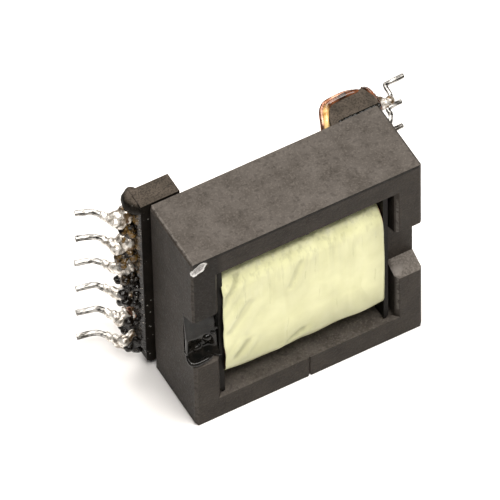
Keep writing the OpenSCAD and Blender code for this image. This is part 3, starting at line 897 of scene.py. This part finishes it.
# %% Film sleeve
# Depth of each valley, which the film's colour reads as painted shade.
painted_crease_layer = sleeve.verts.layers.float.new("painted_crease_shade")
for v in sleeve.verts:
    x, y, z = v.co
    if v.normal.y < -0.6:
        beside = ((-0.35, 0), (0.35, 0), (0, 0.45), (0, -0.45))
        around = [wrinkle(x + dx, z + dz) for dx, dz in beside]
        hollow = sum(around) / 4 - wrinkle(x, z)
        v[painted_crease_layer] = min(1.0, max(0.0, hollow / 0.07))
    facing = max(0.0, -v.normal.y)
    uneven = 0.03 * noise.noise(Vector((x / 2, y / 2, z / 2)))
    v.co += v.normal * (wrinkle(x, z) * facing + uneven)
    to_left = max(0.0, 1 - (x - sleeve_low.x) / 1.6)
    to_right = max(0.0, 1 - (sleeve_high.x - x) / 1.4)
    if v.normal.y < -0.2:
        wave = noise.noise(Vector((z / 1.7, 0.5, 0)))
        left_edge = 0.10 + 0.14 * wave + 0.12 * bump_at(z, 15.0, 0.8)
        right_edge_out = 0.03 * bump_at(z, 10.0, 3.0) - 0.16 * bump_at(z, 16.5, 2.0)
        v.co.x -= to_left**2 * left_edge * facing
        v.co.x += to_right**2 * right_edge_out * facing
    if z < 7.0 and y < sleeve_middle.y:
        lift = 0.42 * bump_at(x, -7.2, 1.1) + 0.10 * noise.noise(Vector((x / 1.6, 0.0, 8.0)))
        v.co.z += lift * min(1.0, (7.0 - z) / 1.5)
    if z < 6.4 and y < sleeve_middle.y:
        v.co += Vector((-0.06, -0.16, 0)) * to_left**2 * bump_at(z, 5.6, 0.7)
bmesh.ops.solidify(sleeve, geom=sleeve.faces[:], thickness=0.05)
new_piece("film_sleeve", sleeve, film, ("outer_tape",))

# %% [markdown]
# ## Gull-wing pins
# The pins are square tinned wire, held in the rails and bent by a tool: out, down towards the
# board, and out again to a foot. After the solder dip they carry an uneven skin, and the left
# feet were bent by hand, so no two match.

# %% Pins
random.seed(11)
LEFT_TIPS = (14.22, 14.30, 14.48, 14.50, 14.58, 14.60)
RIGHT_TIPS = (14.12, 13.92, 14.02, 13.98, 14.05, 13.96)
LEFT_THICK, RIGHT_THICK = 0.43, 0.38
PER_SIDE = len(LEFT_TIPS)
post_places = {}
for number, tip in enumerate(LEFT_TIPS + RIGHT_TIPS, 1):
    name = f"pin_{number}"
    low, high = [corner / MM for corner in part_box(name)]
    side = -1 if number <= PER_SIDE else 1
    height = (low.z + high.z) / 2
    post_y = low.y + (high.z - low.z) / 2
    post_places[number] = (side, post_y, height)
    wobble = [random.uniform(-1, 1) for _ in range(6)]
    if side < 0:
        route = [
            (8.75, post_y, 0), (10.4, post_y, 0), (11.4, post_y, 0), (12.05, post_y + 0.16, 0),
            (12.40 + 0.05 * wobble[0], post_y + 0.62, 0.03 * wobble[3]),
            (12.60 + 0.08 * wobble[0], 4.05, 0.05 * wobble[3]),
            (12.98 + 0.06 * wobble[1], 4.55, 0.05 * wobble[4]),
            (13.55, 4.78 + 0.05 * wobble[2], 0.04 * wobble[4]),
            (tip - 0.25, 4.96 + 0.05 * wobble[2], 0.05 * wobble[5]),
            (tip, 5.02 + 0.06 * wobble[2], 0.06 * wobble[5]),
        ]
    else:
        corner_x = 12.36 + (0.22 if number == 8 else 0.0)
        route = [
            (8.75, post_y, 0), (10.4, post_y, 0), (11.6, post_y, 0), (12.05, post_y + 0.05, 0),
            (12.30, post_y + 0.30, 0), (corner_x, post_y + 0.8, 0), (corner_x + 0.02, 4.10, 0),
            (corner_x + 0.10, 4.36, 0), (corner_x + 0.38, 4.44, 0.02 * wobble[4]),
            (13.40, 4.46 + 0.02 * wobble[2], 0.03 * wobble[4]),
            (tip, 4.50 + 0.03 * wobble[2], 0.04 * wobble[5]),
        ]
    run = curve_through([(side * x, y, height + z) for x, y, z in route], steps=5)
    pin = bmesh.new()
    own_noise = number * 3.7
    thick = LEFT_THICK if side < 0 else RIGHT_THICK
    draw_wire(
        pin, run,
        lambda share: thick + 0.045 * noise.noise(Vector((share * 9, own_noise, 0))),
        corner=0.15,
    )
    bmesh.ops.subdivide_edges(
        pin, edges=[e for e in pin.edges if len(e.link_faces) == 2], cuts=1, use_grid_fill=True
    )
    new_piece(f"bent_{name}", pin, tin, (name,))

# %% [markdown]
# ## Solder on the posts
# Each lead ends in two turns round its post, and the whole row was dipped in solder. What is left
# is a bright lump in which the turns can still be felt. Hoops and balls are melted together and
# kneaded a little.

# %% Solder joints
random.seed(5)
FIRST_TURN = 10.78
TURNS = (0.10, 0.46)
TURN_RADIUS, TURN_WIDTH = 0.52, 0.36
for number, (side, post_y, height) in post_places.items():
    joint = bmesh.new()
    big = 1.04 if number <= 3 else (0.96 if side < 0 else 0.80)
    for offset in TURNS:
        lean = random.uniform(-0.25, 0.25)
        centre = Vector((side * (FIRST_TURN + offset), post_y, height))
        hoop(joint, centre, TURN_RADIUS * big, TURN_WIDTH, lean)
    for share in (0.0, 0.4, 0.8, 1.15):
        drift = Vector((0, random.uniform(-0.22, 0.16), random.uniform(-0.22, 0.22)))
        centre = Vector((side * (FIRST_TURN + 0.05 + share), post_y, height)) + drift
        ball(joint, centre, (0.68 - 0.20 * share) * big * random.uniform(0.92, 1.12))
    if side < 0:
        ball(joint, (-12.10, post_y + 0.30, height), 0.42, (1, 1.3, 1))
        ball(joint, (-12.45, post_y + 0.85, height), 0.32, (1, 1.6, 1))
        ball(joint, (-11.55, post_y - 0.30, height - 0.45), 0.34 * big, (1.2, 1, 1))
    if number == 7:
        ball(joint, (10.62, 2.75, 18.65), 0.45, (1.1, 1, 1.2))
        ball(joint, (10.50, 3.00, 19.10), 0.30, (1.2, 1, 1))
    skin = melt_and_knead(joint, 0.065, 0.06, 0.50, number * 1.3, rounds=6)
    new_piece(f"solder_joint_{number}", skin, solder, (f"solder_{number}",))

# %% [markdown]
# ## Burnt varnish and flux on the left rail
# The dip scorches the enamel and leaves flux between the posts and the rail. It is a crust on the
# rail's outer face: a fine grid on that face, pushed out by noise and thicker round each post.

# %% Crust on the rail
former_low, former_high = [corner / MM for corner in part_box("coil_former")]
CRUST_Y = (1.62, 3.46)
CRUST_Z = (1.9, 19.2)
left_posts = [post_places[number] for number in range(1, PER_SIDE + 1)]
crust = bmesh.new()
bmesh.ops.create_grid(
    crust, x_segments=22, y_segments=190, size=0.5,
    matrix=Matrix.Translation((former_low.x, sum(CRUST_Y) / 2, sum(CRUST_Z) / 2))
    @ Matrix.Rotation(math.pi / 2, 4, "Y") @ Matrix.Rotation(math.pi / 2, 4, "Z")
    @ Matrix.Diagonal((CRUST_Y[1] - CRUST_Y[0], CRUST_Z[1] - CRUST_Z[0], 1, 1)),
)
for v in crust.verts:
    y, z = v.co.y, v.co.z
    across_rim = min((y - CRUST_Y[0]) / 0.25, (CRUST_Y[1] - y) / 0.2)
    along_rim = min((z - CRUST_Z[0]) / 0.6, (CRUST_Z[1] - z) / 0.4)
    rim = max(0.0, min(1.0, across_rim, along_rim))
    near_post = max(
        bump_at(z, height, 0.9) * bump_at(y, post_y, 0.9) for side, post_y, height in left_posts
    )
    rough = 0.5 + 0.7 * noise.fractal(Vector((y / 0.7, z / 0.8, 3)), 0.6, 2.0, 4)
    v.co.x -= rim * max(0.02, 0.08 + 0.30 * near_post + 0.20 * rough)
bmesh.ops.solidify(crust, geom=crust.faces[:], thickness=0.01)
new_piece("flux_crust", crust, flux)

# %% [markdown]
# ## Lumps between the posts
# On the upper posts the flux ran into thin amber webs, and on the lower ones it gathered in large
# shiny black drops. Rough balls in front of and between the posts are melted together, once for
# the amber webs and once for the drops, because they are of different sizes.

# %% Amber webs between the upper posts
random.seed(23)
webs = bmesh.new()
for number in (1, 2, 3):
    side, post_y, height = post_places[number]
    for _ in range(11):
        centre = Vector((
            -10.45 - random.uniform(0.0, 1.35),
            post_y - 0.32 + random.uniform(-0.50, 0.35),
            height - 1.20 + random.uniform(-0.85, 0.70),
        ))
        ball(webs, centre, random.uniform(0.22, 0.40), (1, random.uniform(0.8, 1.3), 1.3))
skin = melt_and_knead(webs, 0.065, 0.14, 0.35, 7.7)
new_piece("flux_webs", skin, flux)

# %% Black drops on the lower posts
random.seed(31)
drops = bmesh.new()
for number in (3, 4, 5, 6):
    side, post_y, height = post_places[number]
    low_down = 0.0 if number > 3 else -1.3
    for _ in range(16):
        out_by = random.uniform(0.0, 1.0)
        centre = Vector((
            -10.55 - 1.25 * out_by,
            post_y - 0.30 + random.uniform(-0.45, 0.30),
            height + low_down - 0.35 + random.uniform(-1.15, 0.60) * (1.1 - 0.5 * out_by),
        ))
        ball(drops, centre, random.uniform(0.26, 0.46), (1, 1, random.uniform(0.8, 1.3)))
skin = melt_and_knead(drops, 0.07, 0.10, 0.40, 2.7, rounds=3)
new_piece("flux_drops", skin, flux)

# %% [markdown]
# ## The blob on the rail's top corner
# Varnish ran over the top outer corner of the left rail and set there as a rounded lobe, level
# with the rail's top. It is one melted lump, and its top is eased off level.

# %% Blob on the left rail
EASE = 0.12
blob = bmesh.new()
for place, radius in (
    ((-10.35, 3.25, 19.20), 0.76), ((-10.60, 2.95, 19.25), 0.62), ((-10.32, 2.45, 19.20), 0.66),
    ((-10.15, 3.55, 19.25), 0.62), ((-10.12, 1.95, 19.25), 0.42), ((-10.45, 2.85, 18.45), 0.55),
):
    ball(blob, place, radius, (1, 1, 1.15))
skin = melt_and_knead(blob, 0.07, 0.05, 0.6, 5.2, rounds=4)
level = former_high.z - 0.03
for v in skin.verts:
    if v.co.z > level - EASE:
        v.co.z = level - EASE + EASE * math.tanh((v.co.z - level + EASE) / EASE)
new_piece("varnish_blob", skin, plastic)

# %% [markdown]
# ## Resin in the left notch
# A drop of black resin glues the former to the core through the notch. It crept up the notch
# floor, settled in a pool on the lower wall and hung a rim over the side, so its face is hollow.

# %% Resin pool
POOL_X = (core_low.x - 0.02, -7.38)
POOL_Z = (7.5, 12.5)
POOL_BACK = core_low.y + 1.62
pool = bmesh.new()
bmesh.ops.create_grid(
    pool, x_segments=34, y_segments=56, size=0.5,
    matrix=Matrix.Translation((sum(POOL_X) / 2, -4.0, sum(POOL_Z) / 2))
    @ Matrix.Rotation(math.pi / 2, 4, "X")
    @ Matrix.Diagonal((POOL_X[1] - POOL_X[0], POOL_Z[1] - POOL_Z[0], 1, 1)),
)
for v in pool.verts:
    x, z = v.co.x, v.co.z
    deep = 1.08 + 0.47 * min(1.0, max(0.0, (z - 9.6) / 2.6)) ** 0.8
    lower_lip = 0.62 * bump_at(z, POOL_Z[0], 0.42)
    climb = 0.40 * bump_at(x, POOL_X[1], 0.45) + 0.06 * bump_at(x, POOL_X[0], 0.35)
    climb_left = 1 if z < 11 else (POOL_Z[1] - z) / 1.5
    uneven = 0.03 * noise.noise(Vector((x * 1.4, z * 1.4, 0)))
    v.co.y = core_low.y + deep - lower_lip - climb * climb_left + uneven
grown = bmesh.ops.extrude_face_region(pool, geom=pool.faces[:])["geom"]
for v in [part for part in grown if isinstance(part, bmesh.types.BMVert)]:
    v.co.y = POOL_BACK
bmesh.ops.recalc_face_normals(pool, faces=pool.faces)
new_piece("resin_pool", pool, resin, ("notch_resin",))

# %% Rim of resin along the lower lip
rim_run = curve_through([
    (-9.93, -4.35, 8.05), (-9.95, -4.70, 7.85), (-9.85, -5.02, 7.70), (-9.50, -5.14, 7.62),
    (-9.00, -5.14, 7.60), (-8.40, -5.10, 7.62), (-7.90, -4.95, 7.60),
], steps=6)
resin_rim = bmesh.new()
draw_wire(
    resin_rim, rim_run,
    lambda share: 0.12 + 0.30 * math.sin(math.pi * share) ** 0.6,
    sides=16,
)
new_piece("resin_rim", resin_rim, resin)

# %% Drops in the notch
hollow_drops = bmesh.new()
for place, radius in (
    ((-7.95, -4.15, 8.95), 0.42), ((-8.30, -4.05, 8.55), 0.38), ((-7.45, -4.35, 9.6), 0.30),
    ((-7.25, -4.55, 10.3), 0.26), ((-8.9, -4.2, 8.2), 0.36), ((-7.60, -4.10, 8.3), 0.34),
):
    ball(hollow_drops, place, radius, (1.25, 0.8, 1.1))
skin = melt_and_knead(hollow_drops, 0.06, 0.04, 0.5, 6.1, rounds=4)
new_piece("resin_drops", skin, resin)

# %% [markdown]
# ## The top right lead
# The topmost lead on the right goes round the rail's end instead of across it, and was fixed with
# clear varnish, which has turned golden against the copper.

# %% Lead round the rail
LEAD_WIDTH = 0.42
lead_run = curve_through([
    (5.45, 1.45, 15.2), (5.50, 1.55, 16.9), (5.62, 1.80, 18.4), (5.85, 2.35, 19.35),
    (6.18, 3.15, 19.70), (6.75, 3.66, 19.80), (7.60, 3.76, 19.84), (8.50, 3.78, 19.82),
    (9.25, 3.70, 19.66), (9.90, 3.45, 19.25), (10.50, 3.25, 18.80), (10.85, 3.20, 18.45),
], steps=6)
lead = bmesh.new()
draw_wire(lead, lead_run, LEAD_WIDTH, sides=16)
new_piece("wrapped_lead_7", lead, copper, ("lead_7",))

# %% [markdown]
# ## Varnish between that lead and the rail
# The varnish fills the corner between the lead and the rail's end: a smooth web, golden beside the
# lead's first bend and brown along the top. Many small balls set close together along the lead's
# inner side melt into an even web, where a few large ones would look like beads.

# %% Web of varnish
WEB_BALLS = 70
WEB_START, WEB_LENGTH = 14, 34
web = bmesh.new()
for k in range(WEB_BALLS):
    share = k / (WEB_BALLS - 1)
    on_lead = lead_run[int(WEB_START + share * WEB_LENGTH)]
    inward = Vector((0.30, -0.08 - 0.20 * min(1.0, share * 2), -0.06))
    ball(web, on_lead + inward, 0.31, (1, 1, 1.4))
skin = melt_and_knead(web, 0.06, 0.03, 0.7, 1.1, rounds=4)
new_piece("varnish_web", skin, varnish)

# %% [markdown]
# ## Filled end of the right rail
# The inner end of the right rail is filled level with glue, which takes the same finish as the
# rail. A flat outline just under the rail's top is extruded down and bevelled, and its skin is
# kneaded a little.

# %% Filled rail end
FILL_CORNERS = ((7.30, 1.36), (6.02, 1.36), (6.25, 2.10), (6.78, 3.05), (7.38, 3.62))
FILL_TOP = former_high.z - 0.015
FILL_DEPTH = 1.6
fill = bmesh.new()
fill.faces.new([fill.verts.new((x, y, FILL_TOP)) for x, y in FILL_CORNERS])
grown = bmesh.ops.extrude_face_region(fill, geom=fill.faces[:])["geom"]
low_verts = [part for part in grown if isinstance(part, bmesh.types.BMVert)]
bmesh.ops.translate(fill, vec=(0, 0, -FILL_DEPTH), verts=low_verts)
bmesh.ops.recalc_face_normals(fill, faces=fill.faces)
bmesh.ops.bevel(
    fill, geom=fill.edges[:], offset=0.10, offset_type="OFFSET", segments=4,
    profile=0.5, affect="EDGES", material=-1,
)
skin = melt_and_knead(fill, 0.05, 0.03, 0.5, 4.4)
new_piece("filled_rail_end", skin, plastic)

# %% [markdown]
# ## Glue line beside the right rail
# A line of black glue holds the former to the core along the rail. It stands a little proud and
# is uneven, so it is a wire whose width is driven by noise. A run of brown varnish follows the
# rail's outer edge in the same way.

# %% Glue line
GLUE_START = Vector((6.75, 1.44, 19.83))
GLUE_STEP = Vector((0.11, 0, 0))
glue_run = [GLUE_START + k * GLUE_STEP for k in range(34)]
glue_line = bmesh.new()
draw_wire(
    glue_line, glue_run,
    lambda share: 0.36 + 0.14 * noise.noise(Vector((share * 11, 3.0, 0))),
    sides=12,
)
outer_edge = curve_through([
    (9.95, 3.72, 19.62), (10.30, 3.45, 19.66), (10.42, 2.90, 19.66), (10.45, 2.20, 19.62),
    (10.44, 1.62, 19.50), (10.40, 1.46, 18.90),
], steps=5)
edge_line = bmesh.new()
draw_wire(
    edge_line, outer_edge,
    lambda share: 0.34 + 0.10 * noise.noise(Vector((share * 7, 8.0, 0))),
    sides=12,
)
new_piece("glue_line", glue_line, resin)
new_piece("varnish_edge", edge_line, varnish)

# %% [markdown]
# ## The joint between the halves
# The two halves meet at the middle of each long leg. Grinding dust and glue fill the fine groove
# there until it is only a hairline. Two thin bars of the same finish lie in the groove of the
# upper leg, one across its top and one down its front. They don't touch, so no two faces fight.

# %% Filled joint
HALF_WIDTH = 0.135
SUNK = 0.006
BAR_DEPTH = 0.25
FRONT_FOOT = 17.6
meeting = core_high.x
top, front, back = core_high.z - SUNK, core_low.y + SUNK, core_high.y - SUNK
joint_bars = bmesh.new()
for bar_low, bar_high in (
    ((-HALF_WIDTH, front, top - BAR_DEPTH), (HALF_WIDTH, back, top)),
    ((-HALF_WIDTH, front, FRONT_FOOT), (HALF_WIDTH, front + BAR_DEPTH, top - BAR_DEPTH - 0.01)),
):
    bar_size = Vector(bar_high) - Vector(bar_low)
    bar_middle = (Vector(bar_high) + Vector(bar_low)) / 2 + Vector((meeting, 0, 0))
    place = Matrix.Translation(bar_middle) @ Matrix.Diagonal((*bar_size, 1))
    bmesh.ops.create_cube(joint_bars, size=1, matrix=place)
bmesh.ops.bevel(
    joint_bars, geom=joint_bars.edges[:], offset=0.012, offset_type="OFFSET", segments=2,
    profile=0.5, affect="EDGES", material=-1,
)
new_piece("filled_joint", joint_bars, ferrite)
